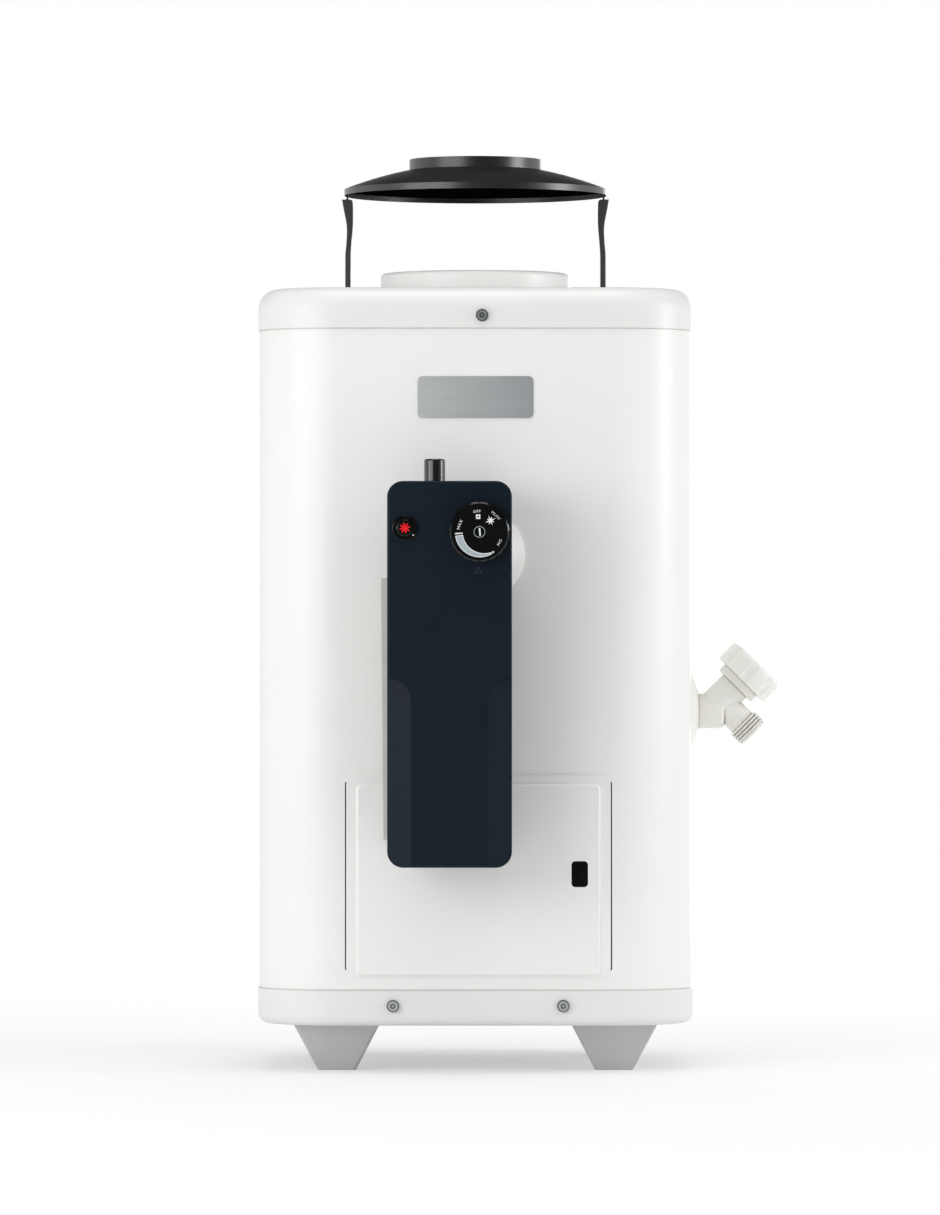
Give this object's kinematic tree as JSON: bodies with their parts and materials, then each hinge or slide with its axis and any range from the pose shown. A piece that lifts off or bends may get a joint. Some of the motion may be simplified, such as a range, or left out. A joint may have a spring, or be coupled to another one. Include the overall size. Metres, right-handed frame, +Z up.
{
  "type": "gas water heater",
  "caption": "Floor-standing gas water heater: white casing, black draft hood on legs, gas control with dial, pilot and igniter buttons, drain valve, access door, and tank with burner inside.",
  "frame": {"origin": "on the floor, midway between the four feet and under the axis of the flue", "axes": "+X to the right seen from the front, where the drain valve is; +Y from front to back; +Z up along the flue"},
  "size_m": [0.4049, 0.481, 0.7075],
  "materials": {
    "white_enamel": "gloss enamel",
    "foot_grey": "satin enamel",
    "hood_black": "satin heat-resistant paint",
    "zinc_steel": "zinc plated",
    "plate_metal": "brushed",
    "cover_black": "satin moulding",
    "knob_black": "gloss moulding",
    "button_black": "gloss moulding",
    "ivory_plastic": "satin moulding",
    "dome_white": "satin moulding",
    "cast_alloy": "die cast",
    "brass": "machined",
    "plain_steel": "mill finish",
    "tank_enamel": "vitreous enamel",
    "cast_iron": "as cast",
    "magnesium": "as cast",
    "glass_wool": "fibrous",
    "rubber_black": "matt",
    "dark_glass": "smoked",
    "ceramic_white": "glazed",
    "strap_steel": "primer"
  },
  "bodies": {
    "heater": {"jacket": "white_enamel", "base_pan": "white_enamel", "top_cap": "white_enamel", "foot_front_left": "foot_grey", "foot_front_right": "foot_grey", "foot_rear_left": "foot_grey", "foot_rear_right": "foot_grey", "pan_screws": "zinc_steel", "cap_screws": "zinc_steel", "foot_screws": "zinc_steel", "name_plate": "plate_metal", "water_tank": "tank_enamel", "flue_tube": "tank_enamel", "flue_baffle": "plain_steel", "anode_rod": "magnesium", "cold_inlet_nipple": "zinc_steel", "hot_outlet_nipple": "zinc_steel", "pipe_rings": "dome_white", "insulation": "glass_wool", "flue_collar": "white_enamel", "draft_hood": "hood_black", "hood_leg_left": "hood_black", "hood_leg_right": "hood_black", "thermostat_dome": "dome_white", "gas_valve": "cast_alloy", "thermostat_probe": "brass", "gas_inlet_fitting": "brass", "control_cover": "cover_black", "control_bracket": "strap_steel", "bracket_screws": "zinc_steel", "pilot_bezel": "cover_black", "igniter_body": "cover_black", "tube_grommet": "rubber_black", "manifold_tube": "plain_steel", "pilot_tube": "plain_steel", "thermocouple": "brass", "ignition_lead": "rubber_black", "combustion_chamber": "plain_steel", "inner_door": "plain_steel", "burner_body": "cast_iron", "burner_cap": "cast_iron", "burner_orifice": "brass", "burner_stand": "plain_steel", "pilot_bracket": "plain_steel", "pilot_burner": "brass", "spark_electrode": "ceramic_white", "drain_escutcheon": "ivory_plastic", "drain_valve_body": "ivory_plastic", "drain_bonnet": "ivory_plastic"},
    "dial": {"control_knob": "knob_black", "valve_spindle": "brass"},
    "pilot_push": {"pilot_button": "button_black"},
    "igniter_push": {"igniter_button": "button_black"},
    "drain_plug": {"drain_washer": "rubber_black"},
    "drain_wheel": {"drain_handle": "ivory_plastic", "drain_stem": "ivory_plastic"},
    "door": {"access_door": "white_enamel", "sight_window": "dark_glass"}
  },
  "joints": [
    {"name": "dial_turn", "type": "hinge", "parent": "heater", "child": "dial", "pos_m": [0.003, -0.27, 0.4115], "axis": [0, -1, 0], "range_deg": [-180, 90]},
    {"name": "pilot_press", "type": "slide", "parent": "heater", "child": "pilot_push", "axis": [0, 1, 0], "range_m": [0, 0.005], "stiffness_N_per_m": 800, "springref_m": -0.002},
    {"name": "igniter_press", "type": "slide", "parent": "heater", "child": "igniter_push", "axis": [0, 0, -1], "range_m": [0, 0.009], "stiffness_N_per_m": 1200, "springref_m": -0.002},
    {"name": "drain_lift", "type": "slide", "parent": "heater", "child": "drain_plug", "axis": [0.7071, 0, 0.7071], "range_m": [0, 0.0045]},
    {"name": "drain_turn", "type": "hinge", "parent": "drain_plug", "child": "drain_wheel", "pos_m": [0.192, 0, 0.2832], "axis": [0.7071, 0, 0.7071], "range_deg": [0, 540]},
    {"name": "door_pull", "type": "slide", "parent": "heater", "child": "door", "axis": [0, -1, 0], "range_m": [0, 0.02]}
  ],
  "couplings": [
    {"joint": "drain_turn", "follows": "drain_lift", "rad_per_m": 2094.4}
  ]
}
